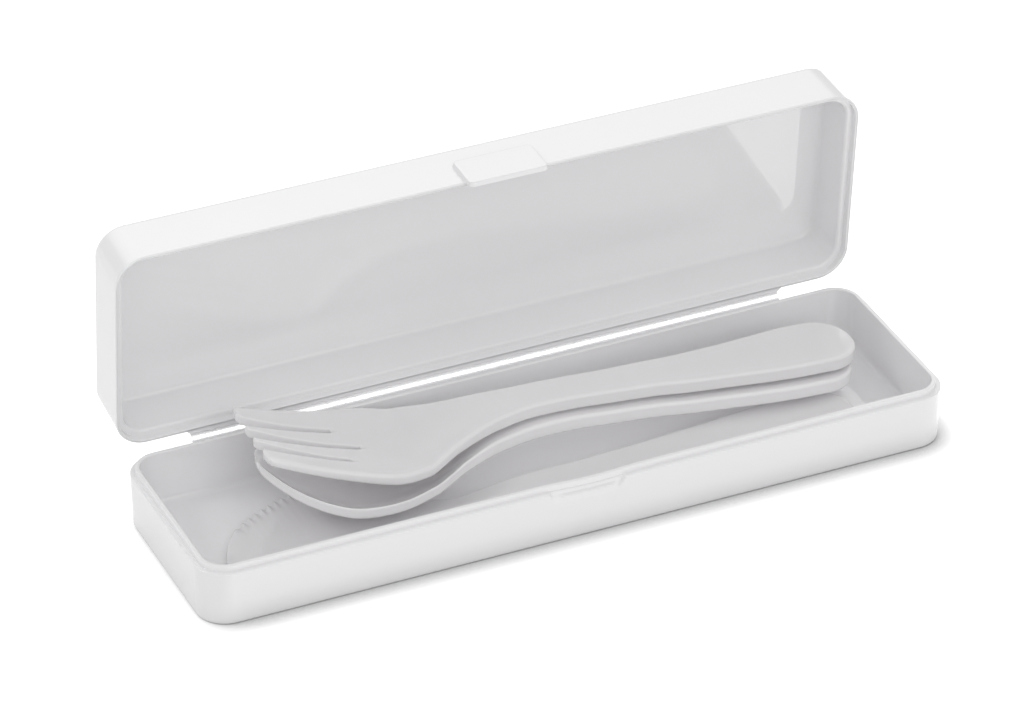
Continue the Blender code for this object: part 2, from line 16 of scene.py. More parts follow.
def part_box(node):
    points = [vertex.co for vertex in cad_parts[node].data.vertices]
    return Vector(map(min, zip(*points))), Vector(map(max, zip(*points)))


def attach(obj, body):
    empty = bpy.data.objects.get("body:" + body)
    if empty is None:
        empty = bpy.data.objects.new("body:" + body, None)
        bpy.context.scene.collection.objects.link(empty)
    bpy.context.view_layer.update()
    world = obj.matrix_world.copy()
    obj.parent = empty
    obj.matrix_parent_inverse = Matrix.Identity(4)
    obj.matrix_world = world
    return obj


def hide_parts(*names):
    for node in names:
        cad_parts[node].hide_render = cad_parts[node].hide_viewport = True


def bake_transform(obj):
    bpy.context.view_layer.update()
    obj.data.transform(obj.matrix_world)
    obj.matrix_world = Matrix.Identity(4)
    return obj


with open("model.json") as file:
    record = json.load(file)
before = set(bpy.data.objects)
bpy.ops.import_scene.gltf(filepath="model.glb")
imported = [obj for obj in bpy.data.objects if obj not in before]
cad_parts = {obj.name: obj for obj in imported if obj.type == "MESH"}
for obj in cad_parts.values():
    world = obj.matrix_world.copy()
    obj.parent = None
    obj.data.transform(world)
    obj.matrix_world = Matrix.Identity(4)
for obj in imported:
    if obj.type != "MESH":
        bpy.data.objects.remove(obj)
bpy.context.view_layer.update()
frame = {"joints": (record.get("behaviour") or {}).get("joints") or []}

MM = 0.001
GAP = 0.3 * MM

# Case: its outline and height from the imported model, and the sections of its walls
base_low, base_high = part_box("case_base")
LIP_HEIGHT = 1.5 * MM
CASE_LENGTH = base_high.x - base_low.x
CASE_WIDTH = -2 * base_low.y
CASE_CORNER = 7.7 * MM
BASE_HEIGHT = base_high.z - LIP_HEIGHT
LIP_TOP = BASE_HEIGHT + LIP_HEIGHT
BASE_DRAFT = 0.34 * MM
BASE_EDGE_ROUND = 0.8 * MM
FLOOR_THICKNESS = 2.0 * MM
LEDGE_WIDTH = 1.2 * MM
LIP_THICKNESS = 1.1 * MM
LIP_DRAFT = 0.05 * MM
TRAY_DRAFT = 0.4 * MM
TRAY_FILLET = 1.5 * MM
LID_HEIGHT = 14.9 * MM
LID_DRAFT = 0.47 * MM
LID_EDGE_ROUND = 1.3 * MM
LID_TOP_THICKNESS = 1.6 * MM
LID_WALL = 2.5 * MM
LID_INNER_DRAFT = 0.3 * MM
LID_FILLET = 1.2 * MM
RIM_WALL = 0.9 * MM
REBATE_DEPTH = 1.7 * MM
RIM_Z = BASE_HEIGHT + GAP
EDGE_ROUND = 0.25 * MM
INNER_EDGE_ROUND = 0.12 * MM
SHOULDER_ROUND = 0.7 * MM

# Film hinge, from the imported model's joint
lid_hinge = next(joint for joint in frame["joints"] if joint["name"] == "lid_hinge")
HINGE_Y, HINGE_Z = lid_hinge["pos_m"][1:]
LID_OPEN_ANGLE = math.radians(-lid_hinge["range_deg"][0])
FLANGE_LENGTH = CASE_LENGTH - 34.0 * MM
FLANGE_SETBACK = 1.1 * MM
FLANGE_THICKNESS = 0.95 * MM
FLANGE_CHAMFER = 1.6 * MM
FILM_THICKNESS = 0.4 * MM
FILM_SAG = 0.15 * MM

# Snap tab on the lid, recess and bead on the base
TAB_WIDTH = 22.0 * MM
TAB_SIDEWAYS = 1.4 * MM
TAB_CORNER = 1.6 * MM
TAB_ABOVE_RIM = 8.3 * MM
TAB_BELOW_RIM = 2.8 * MM
TAB_STAND_OUT = 1.3 * MM
TAB_STAND_OUT_AT_TOP = 0.7 * MM
TAB_SIDE_SLANT = 0.4 * MM
TAB_LEFT_TRIM = 1.3 * MM
TAB_ROOT = 0.5 * MM
RECESS_WIDTH = 19.2 * MM
RECESS_DEPTH = 1.0 * MM
RECESS_HEIGHT = TAB_BELOW_RIM + 0.6 * MM
RECESS_SIDE_SLANT = 1.5 * MM
BEAD_HEIGHT = 0.6 * MM
BEAD_STAND_OUT = 0.4 * MM
BEAD_BELOW_LEDGE = 1.2 * MM
BEAD_SQUARENESS = 4

# Cutlery
HANDLE_WIDTH = 18.0 * MM
HANDLE_THICKNESS = 3.8 * MM
CUTLERY_YAW = math.radians(1.1)
HANDLE_END_ROOM = 8.3 * MM
SPOON_BACK = 2.0 * MM
KNIFE_BACK = 7.4 * MM
SPOON_FORWARD = 2.3 * MM
NECK_EASE = 0.2 * MM
FORK_HEAD_WIDTH = 32.0 * MM
FORK_HEAD_THICKNESS = 3.2 * MM
FORK_WALL_GAP = 0.6 * MM
FORK_WIDEST = 0.8
FORK_HEEL = 0.74
FORK_HEEL_RISE = 0.6 * MM
FORK_SWEEP = 1.6
TIP_TO_CEILING = 0.4 * MM
TINE_PITCH = 7.2 * MM
TINE_TIP_WIDTH = 2.2 * MM
TINE_THICKNESS = 2.6 * MM
SLOT_ROOT_WIDTH = 1.5 * MM
SLOT_CLOSED_WIDTH = 0.1 * MM
SLOT_STARTS = (0.853, 0.822, 0.853)
SPOON_BOWL_WIDTH = 33.6 * MM
SPOON_BOWL_THICKNESS = 2.9 * MM
SPOON_BOWL_RISE = 0.4 * MM
SPOON_WALL = 2.0 * MM
SPOON_WIDEST = 0.845
BOWL_ROUNDNESS = 2.3
KNIFE_HANDLE_THICKNESS = 4.2 * MM
KNIFE_BLADE_THICKNESS = 1.8 * MM
KNIFE_FRONT_GAP = 4.4 * MM
BLADE_BULGE = 23.2 * MM
BLADE_SPINE_BULGE = 6.6 * MM
TOOTH_DEPTH = 0.8 * MM
TOOTH_PITCH = 2.0 * MM
TEETH = (0.79, 0.95)
SERRATION_DEPTH = 0.45 * MM
SERRATION_REACH = 3.2 * MM
BLADE_START = 0.52
BLADE_FULL = 0.68

INNER_LENGTH = CASE_LENGTH - 2 * (LEDGE_WIDTH + LIP_THICKNESS)
INNER_HALF_WIDTH = CASE_WIDTH / 2 - LID_WALL - LID_INNER_DRAFT
CEILING_Z = RIM_Z + LID_HEIGHT - LID_TOP_THICKNESS
KNIFE_LENGTH = INNER_LENGTH - 26.0 * MM
FORK_LENGTH = KNIFE_LENGTH - 5.0 * MM
SPOON_LENGTH = KNIFE_LENGTH - 8.0 * MM
KNIFE_BOTTOM = FLOOR_THICKNESS + GAP
BLADE_TOP = KNIFE_BOTTOM + KNIFE_BLADE_THICKNESS
SPOON_END_TOP = KNIFE_BOTTOM + KNIFE_HANDLE_THICKNESS + GAP + HANDLE_THICKNESS
FORK_END_TOP = SPOON_END_TOP + GAP + NECK_EASE + HANDLE_THICKNESS
FORK_END_X = INNER_LENGTH / 2 - HANDLE_END_ROOM
FORK_HEAD_Y = INNER_HALF_WIDTH - FORK_WALL_GAP - FORK_HEAD_WIDTH / 2
FORK_END_Y = FORK_HEAD_Y - FORK_WIDEST * FORK_LENGTH * math.sin(CUTLERY_YAW)
KNIFE_Y = -INNER_HALF_WIDTH + KNIFE_FRONT_GAP + HANDLE_WIDTH / 2
SPOON_BOWL_DEPTH = SPOON_END_TOP + SPOON_BOWL_RISE - SPOON_BOWL_THICKNESS - BLADE_TOP - GAP
SPOON_BOWL_HOLLOW = SPOON_BOWL_DEPTH + SPOON_BOWL_THICKNESS - SPOON_WALL


def scaled(size, points):
    """(share of the length, size) points from (share, share of a size) points"""
    return tuple((share, value * size) for share, value in points)


# Half widths by share of the piece's length, from the handle's end
HANDLE_OUTLINE = scaled(
    HANDLE_WIDTH / 2,
    (
        (0.0, 1.0), (0.09, 1.0), (0.16, 0.91), (0.22, 0.8),
        (0.29, 0.7), (0.35, 0.62), (0.42, 0.567), (0.49, 0.544),
    ),
)
FORK_OUTLINE = HANDLE_OUTLINE + scaled(
    FORK_HEAD_WIDTH / 2,
    (
        (0.55, 0.315), (0.61, 0.39), (0.68, 0.588), (0.74, 0.863),
        (FORK_WIDEST, 1.0), (0.87, 0.912), (1.0, 0.744),
    ),
)
SPOON_OUTLINE = HANDLE_OUTLINE + scaled(
    SPOON_BOWL_WIDTH / 2,
    (
        (0.55, 0.315), (0.61, 0.375), (0.68, 0.565), (0.74, 0.79),
        (0.8, 0.965), (SPOON_WIDEST, 1.0), (1.0, 1.0),
    ),
)
BLADE_EDGE = HANDLE_OUTLINE + scaled(
    BLADE_BULGE,
    (
        (0.55, 0.222), (0.63, 0.237), (0.67, 0.345), (0.73, 0.776), (0.79, 0.991),
        (0.85, 1.0), (0.9, 0.888), (0.95, 0.681), (0.98, 0.431), (1.0, 0.13),
    ),
)
BLADE_SPINE = HANDLE_OUTLINE + scaled(
    BLADE_SPINE_BULGE,
    ((0.6, 0.76), (0.7, 0.94), (0.85, 1.0), (0.94, 0.85), (0.98, 0.545), (1.0, 0.15)),
)

# Rise of the top edge above the handle's end
HANDLE_RISE = scaled(
    MM,
    (
        (0.0, 0.0), (0.03, 0.3), (0.09, 0.75), (0.16, 1.0), (0.22, 1.4),
        (0.29, 2.0), (0.35, 2.85), (0.42, 3.5), (0.48, 4.2), (0.55, 4.55),
    ),
)
FORK_RISE = HANDLE_RISE + ((0.61, 4.1 * MM), (0.68, 2.5 * MM), (FORK_HEEL, FORK_HEEL_RISE))
SPOON_RISE = (
    HANDLE_RISE
    + scaled(MM, ((0.61, 4.0), (0.68, 2.5), (0.71, 1.3)))
    + ((0.745, SPOON_BOWL_RISE), (0.8, SPOON_BOWL_RISE))
    + scaled(MM, ((0.845, 0.8), (0.88, 1.5), (0.91, 2.9), (0.95, 5.4), (1.0, 9.6)))
)

# Hollow of the upper face, bulge of the lower face and height of the sides
HANDLE_DISH = ((0.0, 0.3 * MM), (0.1, 0.5 * MM), (0.5, 0.2 * MM))
FORK_DISH = HANDLE_DISH + ((0.62, 0.7 * MM), (0.75, 2.2 * MM), (0.85, 1.6 * MM), (1.0, 0.4 * MM))
FORK_UNDER = ((0.0, 0.0), (0.6, 0.0), (0.75, 1.7 * MM), (0.85, 1.4 * MM), (1.0, 0.3 * MM))
FORK_SIDE = (
    (0.0, HANDLE_THICKNESS), (0.6, HANDLE_THICKNESS), (0.78, FORK_HEAD_THICKNESS), (1.0, TINE_THICKNESS),
)
SPOON_DISH = (
    HANDLE_DISH
    + ((0.62, 0.8 * MM),)
    + scaled(SPOON_BOWL_HOLLOW, ((0.74, 0.9), (0.8, 1.0), (0.88, 0.92), (0.95, 0.6), (1.0, 0.12)))
)
SPOON_UNDER = scaled(
    SPOON_BOWL_DEPTH,
    ((0.0, 0.0), (0.6, 0.0), (0.74, 0.86), (0.8, 1.0), (0.88, 0.9), (0.95, 0.5), (1.0, 0.05)),
)
SPOON_SIDE = (
    (0.0, HANDLE_THICKNESS), (0.6, HANDLE_THICKNESS),
    (0.74, SPOON_BOWL_THICKNESS), (1.0, SPOON_BOWL_THICKNESS),
)
KNIFE_SIDE = (
    (0.0, KNIFE_HANDLE_THICKNESS), (0.5, KNIFE_HANDLE_THICKNESS),
    (0.66, KNIFE_BLADE_THICKNESS), (1.0, KNIFE_BLADE_THICKNESS),
)
BLADE_THINNING = 0.6 * MM

# Rounded share of the thickness at the edges, and the rounding inside the fork's slots
HANDLE_ROUNDING = 0.24
HEAD_ROUNDING = 0.4
FORK_ROUNDING = ((0.0, HANDLE_ROUNDING), (0.6, HANDLE_ROUNDING), (0.72, HEAD_ROUNDING), (1.0, HEAD_ROUNDING))
BLADE_ROUNDING = 0.2
SLOT_EDGE = 0.45 * MM

# Small unevenness of the real mouldings
LIP_DIP = 0.55 * MM
LIP_DIP_CENTRE = 2.5 * MM
LIP_DIP_REACH = 15.0 * MM
LIP_DIP_START = 10.0 * MM
REAR_BOW = 0.5 * MM

# Fineness of the meshes
CORNER_STEPS = 14
SHORT_SIDE_STEPS = 8
ROUND_STEPS = 5
SUPPORT = 0.4 * MM
LONG_SIDE_STEPS = 12
LATCH_STEP = 0.4 * MM
LATCH_REACH = 13.2 * MM
RECESS_STEP = 0.2 * MM
WALL_STEP = 1.5 * MM
LAST_INSET = 2.0 * MM
ROWS_PER_LENGTH = 150
EDGE_STEPS = (0.0, 0.04, 0.12, 0.25, 0.42, 0.68, 1.0)
EDGE_REACH = 1.3 * MM
OUTLINE_STEP = 0.08 * MM
END_ANGLES = (4, 9, 15, 22, 30, 38, 47, 56, 65, 74, 83)
BOWL_TIP_ANGLES = (*END_ANGLES, 60.5, 69.5, 78.5)
BLADE_TIP_ANGLES = range(6, 91, 6)
TINE_STEPS = 3
BODY_STEPS = 14
BLADE_STEPS = 26
TOOTH_ROWS = 8
FILM_STEPS = 10
FILM_LENGTHS = 40
BEVEL_STEPS = 3

# Angles in degrees above which an edge is shaded as a crease
CASE_CREASE = 38
FILM_CREASE = 50
CUTLERY_CREASE = 60

# Shades of each piece: its white, and the near one that it drifts into
CASE_SHADES = ("f5f4f5", "f2f2f3")
FORK_SHADES = ("efeeef", "ecebec")
# The spoon's white is painted lighter than the fork's and knife's, against the fork's shadow on it
SPOON_SHADES_PAINTED_LIGHTER = ("f5f4f5", "f2f1f2")
KNIFE_SHADES = ("e9e8e9", "e6e5e6")
FLOOR_SHADE = "f5f5f5"
BLACK = "000000"

# Finishes of the moulded polypropylene
CASE_ROUGHNESS = 0.035
CUTLERY_ROUGHNESS = 0.07
FILM_ROUGHNESS = 0.12
ROUGHNESS_DRIFT = 0.012
PLASTIC_IOR = 1.49
POLISHED_LEVEL = 0.9
CUTLERY_GLOW = 0.25
GLOW_DEPTH = 3.0 * MM
CLOUD_SIZE = 25.0 * MM
PATCH_SIZE = 9.0 * MM
GRAIN_SIZE = 0.8 * MM
GRAIN_DEPTH = 0.002 * MM
FILM_GRAIN_SIZE = 0.4 * MM
FILM_GRAIN_DEPTH = 0.0004 * MM
FILM_THINNESS = "thinness"
FILM_CLEARNESS = 0.98
FILM_PINCH = 4

# Places of a Mix node's colour sockets, whose names its number sockets have too
MIX_COLOUR_A, MIX_COLOUR_B, MIX_COLOUR_OUT = 6, 7, 2

# The floor: its painted contact shadow, which falls to the front and right, and its strength by kind of ray
FLOOR_REACH = 3.0
CONTACT_REACH = 7.0 * MM
CONTACT_LEAN = (-0.35, 0.5, 0.8)
CONTACT_DARKEST = 0.1
CONTACT_SAMPLES = 4
FLOOR_LIFT = 0.65
FLOOR_THROUGH = 1.0
FLOOR_MIRRORED = 1.0
FLOOR_MIRRORED_DIM = 0.3
DIM_TO_X = -CASE_LENGTH / 2 - 3.0 * MM
FULL_FROM_X = -CASE_LENGTH / 2 + 9.0 * MM

# Light: the world's strength at the horizon and above, and the lamps
WORLD_AT_HORIZON = 0.75
WORLD_ABOVE = 0.95
LAMP_DISTANCE = 1.2
LAMP_HUMP = 36.0
DIFFUSE_BOUNCES = 10

# Camera, worked out from the case's edges in the photograph
CAMERA_TARGET = Vector((-7.2, 0.0, 36.07)) * MM
CAMERA_DISTANCE = 1341.0 * MM
CAMERA_AZIMUTH = math.radians(-24.32)
CAMERA_ELEVATION = math.radians(32.57)
CAMERA_LENS = 203.45


def linear(colour):
    """A linear RGBA colour from an sRGB hex string"""
    values = [int(colour[i:i + 2], 16) / 255 for i in (0, 2, 4)]
    return [v / 12.92 if v <= 0.04045 else ((v + 0.055) / 1.055) ** 2.4 for v in values] + [1.0]


def set_inputs(tree, node, inputs):
    """Gives each input of a node its value, or links it to another node's output"""
    for name, value in inputs.items():
        if isinstance(value, bpy.types.NodeSocket):
            tree.links.new(value, node.inputs[name])
        else:
            node.inputs[name].default_value = value


def add_node(tree, kind, inputs=None, **settings):
    """Adds a node with its settings, its inputs' values and its links"""
    node = tree.nodes.new(kind)
    for name, value in settings.items():
        setattr(node, name, value)
    set_inputs(tree, node, inputs or {})
    return node


def new_object(name, bm, material=None):
    mesh = bpy.data.meshes.new(name)
    bm.to_mesh(mesh)
    bm.free()
    obj = bpy.data.objects.new(name, mesh)
    bpy.context.scene.collection.objects.link(obj)
    if material:
        mesh.materials.append(material)
    return obj


def combine(obj, bm, operation):
    """Joins a closed shape to an object, or cuts it away, and applies that"""
    other = new_object(obj.name + "_tool", bm)
    modifier = obj.modifiers.new(operation, "BOOLEAN")
    modifier.operation = operation
    modifier.object = other
    depsgraph = bpy.context.evaluated_depsgraph_get()
    mesh = bpy.data.meshes.new_from_object(obj.evaluated_get(depsgraph))
    obj.modifiers.clear()
    obj.data = mesh
    bpy.data.objects.remove(other)


def finish_mesh(obj, sharp_angle):
    """Smooth shading, with creases where faces meet at more than an angle"""
    obj.data.shade_smooth()
    obj.data.set_sharp_from_angle(angle=math.radians(sharp_angle))
    modifier = obj.modifiers.new("even_shading", "WEIGHTED_NORMAL")
    modifier.keep_sharp = True


def smoothstep(low, high, value):
    """0 up to low and 1 from high on, with a smooth way between"""
    t = min(max((value - low) / (high - low), 0.0), 1.0)
    return t * t * (3 - 2 * t)


def rounded_profile(corners):
    """(inset, height) points from (inset, height, radius) corners, each corner turned into an arc"""
    points = [Vector(corners[0][:2])]
    for before, here, after in zip(corners, corners[1:], corners[2:]):
        corner, radius = Vector(here[:2]), here[2]
        back = (Vector(before[:2]) - corner).normalized()
        on = (Vector(after[:2]) - corner).normalized()
        half_turn = (math.pi - back.angle(on)) / 2
        reach = radius * math.tan(half_turn)
        centre = corner + (back + on).normalized() * (radius / math.cos(half_turn))
        spoke = corner + back * reach - centre
        last_spoke = corner + on * reach - centre
        side = math.copysign(1, spoke.x * last_spoke.y - spoke.y * last_spoke.x)
        support = min(reach, SUPPORT)
        points.append(corner + back * (reach + support))
        for k in range(ROUND_STEPS + 1):
            turned = spoke.copy()
            turned.rotate(Matrix.Rotation(side * 2 * half_turn * k / ROUND_STEPS, 2))
            points.append(centre + turned)
        points.append(corner + on * (reach + support))
    points.append(Vector(corners[-1][:2]))
    return points


def finer(points, step_at):
    """The same line with points added, so that no step is longer than step_at says there"""
    def split(a, b):
        middle = (a + b) / 2
        if (b - a).length <= step_at(middle):
            return [b]
        return split(a, middle) + split(middle, b)

    result = [points[0]]
    for a, b in zip(points, points[1:]):
        result += split(a, b)
    return result


def rounded_ring(half_length, half_width, corner, long_side):
    """Points round a rounded rectangle. long_side gives the places along its two long sides"""
    end_y = half_width - corner
    end_x = half_length - corner
    short_side = [end_y * (2 * k / SHORT_SIDE_STEPS - 1) for k in range(SHORT_SIDE_STEPS + 1)]
    sides = (
        [(x, -half_width) for x in long_side],
        [(half_length, y) for y in short_side],
        [(x, half_width) for x in reversed(long_side)],
        [(-half_length, y) for y in reversed(short_side)],
    )
    centres = ((end_x, -end_y), (end_x, end_y), (-end_x, end_y), (-end_x, -end_y))
    points = []
    for quarter, (side, (x, y)) in enumerate(zip(sides, centres)):
        points += side
        for k in range(1, CORNER_STEPS):
            angle = math.pi / 2 * (quarter - 1 + k / CORNER_STEPS)
            points.append((x + corner * math.cos(angle), y + corner * math.sin(angle)))
    return points


def lofted(rings):
    """A closed shape through rings that all have the same number of points"""
    bm = bmesh.new()
    rows = [[bm.verts.new(point) for point in ring] for ring in rings]
    count = len(rows[0])
    for lower, upper in zip(rows, rows[1:]):
        for k in range(count):
            after = (k + 1) % count
            bm.faces.new((lower[k], lower[after], upper[after], upper[k]))
    bm.faces.new(list(reversed(rows[0])))
    bm.faces.new(rows[-1])
    bmesh.ops.recalc_face_normals(bm, faces=bm.faces)
    return bm


def case_long_side():
    """Places along the case's long sides, close together at the latch"""
    half = CASE_LENGTH / 2 - CASE_CORNER
    near = np.arange(-LATCH_REACH, LATCH_REACH + LATCH_STEP / 2, LATCH_STEP)
    far = np.linspace(LATCH_REACH, half, LONG_SIDE_STEPS)[1:]
    return [*(-far[::-1]), *near, *far]


def case_shell(profile, shape):
    """A tray or lid from its (inset, height) profile. shape moves each point a little"""
    long_side = case_long_side()
    rings = []
    for inset, z in profile:
        half_length, half_width = CASE_LENGTH / 2 - inset, CASE_WIDTH / 2 - inset
        ring = rounded_ring(half_length, half_width, CASE_CORNER - inset, long_side)
        rings.append([shape(x, y, z, inset) for x, y in ring])
    return lofted(rings)


def flange(z_low):
    """A bar along the rear wall, chamfered at its ends and with rounded edges"""
    half = FLANGE_LENGTH / 2
    root_y = CASE_WIDTH / 2 - LEDGE_WIDTH / 2
    end_y = HINGE_Y - FLANGE_SETBACK
    bm = bmesh.new()
    end_half = half - FLANGE_CHAMFER
    outline = [(-half, root_y), (half, root_y), (end_half, end_y), (-end_half, end_y)]
    face = bm.faces.new([bm.verts.new((x, y, z_low)) for x, y in outline])
    lifted = bmesh.ops.extrude_face_region(bm, geom=[face])
    top = [v for v in lifted["geom"] if isinstance(v, bmesh.types.BMVert)]
    bmesh.ops.translate(bm, vec=(0, 0, FLANGE_THICKNESS), verts=top)
    bmesh.ops.recalc_face_normals(bm, faces=bm.faces)
    edges = [e for e in bm.edges if (e.verts[0].co.y + e.verts[1].co.y) / 2 > CASE_WIDTH / 2]
    bmesh.ops.bevel(bm, geom=edges, offset=EDGE_ROUND, segments=BEVEL_STEPS, profile=0.5, affect="EDGES")
    return bm


def recess_depth(x, z):
    """How far the front wall lies back at the latch: a wedge, deepest at the top, with a bead across it"""
    up = (z - (BASE_HEIGHT - RECESS_HEIGHT)) / RECESS_HEIGHT
    half = RECESS_WIDTH / 2 - RECESS_SIDE_SLANT * (1 - min(max(up, 0), 1))
    inside = smoothstep(half + LATCH_STEP / 2, half - LATCH_STEP, abs(x))
    depth = RECESS_DEPTH * min(max(up, 0), 1)
    bead_z = BASE_HEIGHT - BEAD_BELOW_LEDGE - BEAD_HEIGHT / 2
    bead = BEAD_STAND_OUT * math.exp(-((z - bead_z) / (BEAD_HEIGHT / 2)) ** BEAD_SQUARENESS)
    bead_end = smoothstep(half - RECESS_SIDE_SLANT, half - 2 * RECESS_SIDE_SLANT, abs(x))
    return inside * max(depth - bead * bead_end, 0)


def base_shape(x, y, z, inset):
    """The base's small unevenness and the recess for the snap tab"""
    at_wall = smoothstep(0, CASE_WIDTH / 2 - 2 * LAST_INSET, abs(y))
    if y > 0:
        bow = REAR_BOW * max(1 - (x / (FLANGE_LENGTH / 2)) ** 2, 0)
        return x, y, z - bow * at_wall * smoothstep(BASE_HEIGHT, LIP_TOP, z)
    if inset < LEDGE_WIDTH and abs(x) < RECESS_WIDTH:
        depth = recess_depth(x, z)
        y += depth * (1 - inset / LEDGE_WIDTH)
    dip = LIP_DIP * smoothstep(LIP_DIP_REACH, 0, abs(x - LIP_DIP_CENTRE))
    return x, y, z - dip * at_wall * smoothstep(LIP_DIP_START, BASE_HEIGHT, z)


def base_step(point):
    """Fine steps where the recess is, coarse ones elsewhere"""
    inset, z = point
    if inset < LEDGE_WIDTH / 2 and z > BASE_HEIGHT - RECESS_HEIGHT - EDGE_ROUND:
        return RECESS_STEP
    return WALL_STEP


def make_case_base(material):
    lip_inner = LEDGE_WIDTH + LIP_THICKNESS
    tray = lip_inner + TRAY_DRAFT
    corners = (
        (BASE_DRAFT + LAST_INSET, 0),
        (BASE_DRAFT, 0, BASE_EDGE_ROUND),
        (0, BASE_HEIGHT, EDGE_ROUND),
        (LEDGE_WIDTH, BASE_HEIGHT, INNER_EDGE_ROUND),
        (LEDGE_WIDTH + LIP_DRAFT, LIP_TOP, EDGE_ROUND),
        (lip_inner, LIP_TOP, EDGE_ROUND),
        (tray, FLOOR_THICKNESS, TRAY_FILLET),
        (tray + TRAY_FILLET + LAST_INSET, FLOOR_THICKNESS),
    )
    bm = case_shell(finer(rounded_profile(corners), base_step), base_shape)
    base = new_object("case_base_moulding", bm, material)
    combine(base, flange(BASE_HEIGHT - FLANGE_THICKNESS), "UNION")
    finish_mesh(base, CASE_CREASE)
    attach(base, "base")
    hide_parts("case_base")


def snap_tab():
    """A rounded plate with slanting sides, thinner at the top, and a little shorter at its left"""
    half_height = (TAB_ABOVE_RIM + TAB_BELOW_RIM) / 2
    middle_z = RIM_Z + TAB_ABOVE_RIM - half_height
    half = TAB_WIDTH / 2 - TAB_CORNER
    long_side = [half * (2 * k / SHORT_SIDE_STEPS - 1) for k in range(SHORT_SIDE_STEPS + 1)]
    corners = (
        (0, -TAB_ROOT),
        (TAB_SIDE_SLANT, TAB_STAND_OUT, EDGE_ROUND),
        (TAB_SIDE_SLANT + TAB_CORNER / 4, TAB_STAND_OUT),
    )
    rings = []
    for inset, out in rounded_profile(corners):
        ring = rounded_ring(TAB_WIDTH / 2 - inset, half_height - inset, TAB_CORNER - inset, long_side)
        rings.append([])
        for x, z in ring:
            share = (z + half_height) / (2 * half_height)
            thinner = 1 + (TAB_STAND_OUT_AT_TOP / TAB_STAND_OUT - 1) * share
            here = out * thinner if out > 0 else out
            x += TAB_LEFT_TRIM * smoothstep(0, TAB_SIDE_SLANT - TAB_WIDTH / 2, x)
            rings[-1].append((x + TAB_SIDEWAYS, -CASE_WIDTH / 2 - GAP / 2 - here, z + middle_z))
    return lofted(rings)


def block(low, high):
    """A box between two opposite corners"""
    bm = bmesh.new()
    bmesh.ops.create_cube(bm, size=1)
    for v in bm.verts:
        v.co = [b if c > 0 else a for c, a, b in zip(v.co, low, high)]
    return bm


def make_case_lid(material):
    inner = LID_WALL + LID_INNER_DRAFT
    top = RIM_Z + LID_HEIGHT
    corners = (
        (LID_DRAFT + LID_EDGE_ROUND + LAST_INSET, top),
        (LID_DRAFT, top, LID_EDGE_ROUND),
        (0, RIM_Z, EDGE_ROUND),
        (RIM_WALL, RIM_Z, EDGE_ROUND),
        (RIM_WALL + LIP_DRAFT, RIM_Z + REBATE_DEPTH, INNER_EDGE_ROUND),
        (LID_WALL, RIM_Z + REBATE_DEPTH, SHOULDER_ROUND),
        (inner, CEILING_Z, LID_FILLET),
        (inner + LID_FILLET + LAST_INSET, CEILING_Z),
    )
    profile = finer(rounded_profile(corners), lambda point: WALL_STEP)
    bm = case_shell(profile, lambda x, y, z, inset: (x, y, z))
    lid = new_object("case_lid_moulding", bm, material)
    tab = new_object("snap_tab_shape", snap_tab())
    wall = CASE_WIDTH / 2
    # Below the rim the tab stands clear of the base
    combine(tab, block((-wall, -wall - GAP, 0), (wall, 0, RIM_Z)), "DIFFERENCE")
    tab_bm = bmesh.new()
    tab_bm.from_mesh(tab.data)
    bpy.data.objects.remove(tab)
    combine(lid, flange(RIM_Z), "UNION")
    combine(lid, tab_bm, "UNION")
    hinge = Matrix.Translation((0, HINGE_Y, HINGE_Z))
    opened = hinge @ Matrix.Rotation(-LID_OPEN_ANGLE, 4, "X") @ hinge.inverted()
    lid.data.transform(opened)
    finish_mesh(lid, CASE_CREASE)
    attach(lid, "lid")
    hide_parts("case_lid")


def make_hinge_film(material):
    """The thin strip that joins the two flanges, a little arched while the lid stands open"""
    start = Vector((0, HINGE_Y - FLANGE_SETBACK, HINGE_Z - GAP / 2 - FLANGE_THICKNESS / 2))
    lid_edge = Vector((0, -FLANGE_SETBACK, GAP / 2 + FLANGE_THICKNESS / 2))
    end = Vector((0, HINGE_Y, HINGE_Z)) + Matrix.Rotation(-LID_OPEN_ANGLE, 3, "X") @ lid_edge
    path = [start.lerp(end, k / FILM_STEPS) for k in range(FILM_STEPS + 1)]
    bend = Vector((0, (end - start).z, -(end - start).y)).normalized()
    path = [p + bend * (FILM_SAG * math.sin(math.pi * k / FILM_STEPS)) for k, p in enumerate(path)]
    sides = []
    for before, after in zip([path[0], *path], [*path[1:], path[-1]]):
        along = (after - before).normalized()
        sides.append(Vector((0, along.z, -along.y)) * (FILM_THICKNESS / 2))
    section = [p + side for p, side in zip(path, sides)]
    section += [p - side for p, side in reversed(list(zip(path, sides)))]
    half_length = FLANGE_LENGTH / 2 - FLANGE_CHAMFER
    rings = []
    for k in range(FILM_LENGTHS + 1):
        x = half_length * (2 * k / FILM_LENGTHS - 1)
        rings.append([(x, point.y, point.z) for point in section])
    film = new_object("hinge_film_strip", lofted(rings), material)
    thin = film.data.attributes.new(FILM_THINNESS, "FLOAT", "POINT")
    for k, place in enumerate(thin.data):
        step = k % len(section)
        along = min(step, len(section) - 1 - step) / FILM_STEPS
        place.value = math.sin(math.pi * along) ** FILM_PINCH
    finish_mesh(film, FILM_CREASE)
    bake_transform(film)
    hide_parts("hinge_film")


def level_slopes(x, y):
    """Slopes at the points of a curve, level at each peak and plateau so that it never overshoots"""
    step = np.diff(y) / np.diff(x)
    slope = np.zeros(len(x))
    slope[0], slope[-1] = step[0], step[-1]
    for i, (before, after) in enumerate(zip(step, step[1:]), 1):
        if before * after > 0:
            slope[i] = 2 * before * after / (before + after)
    return slope


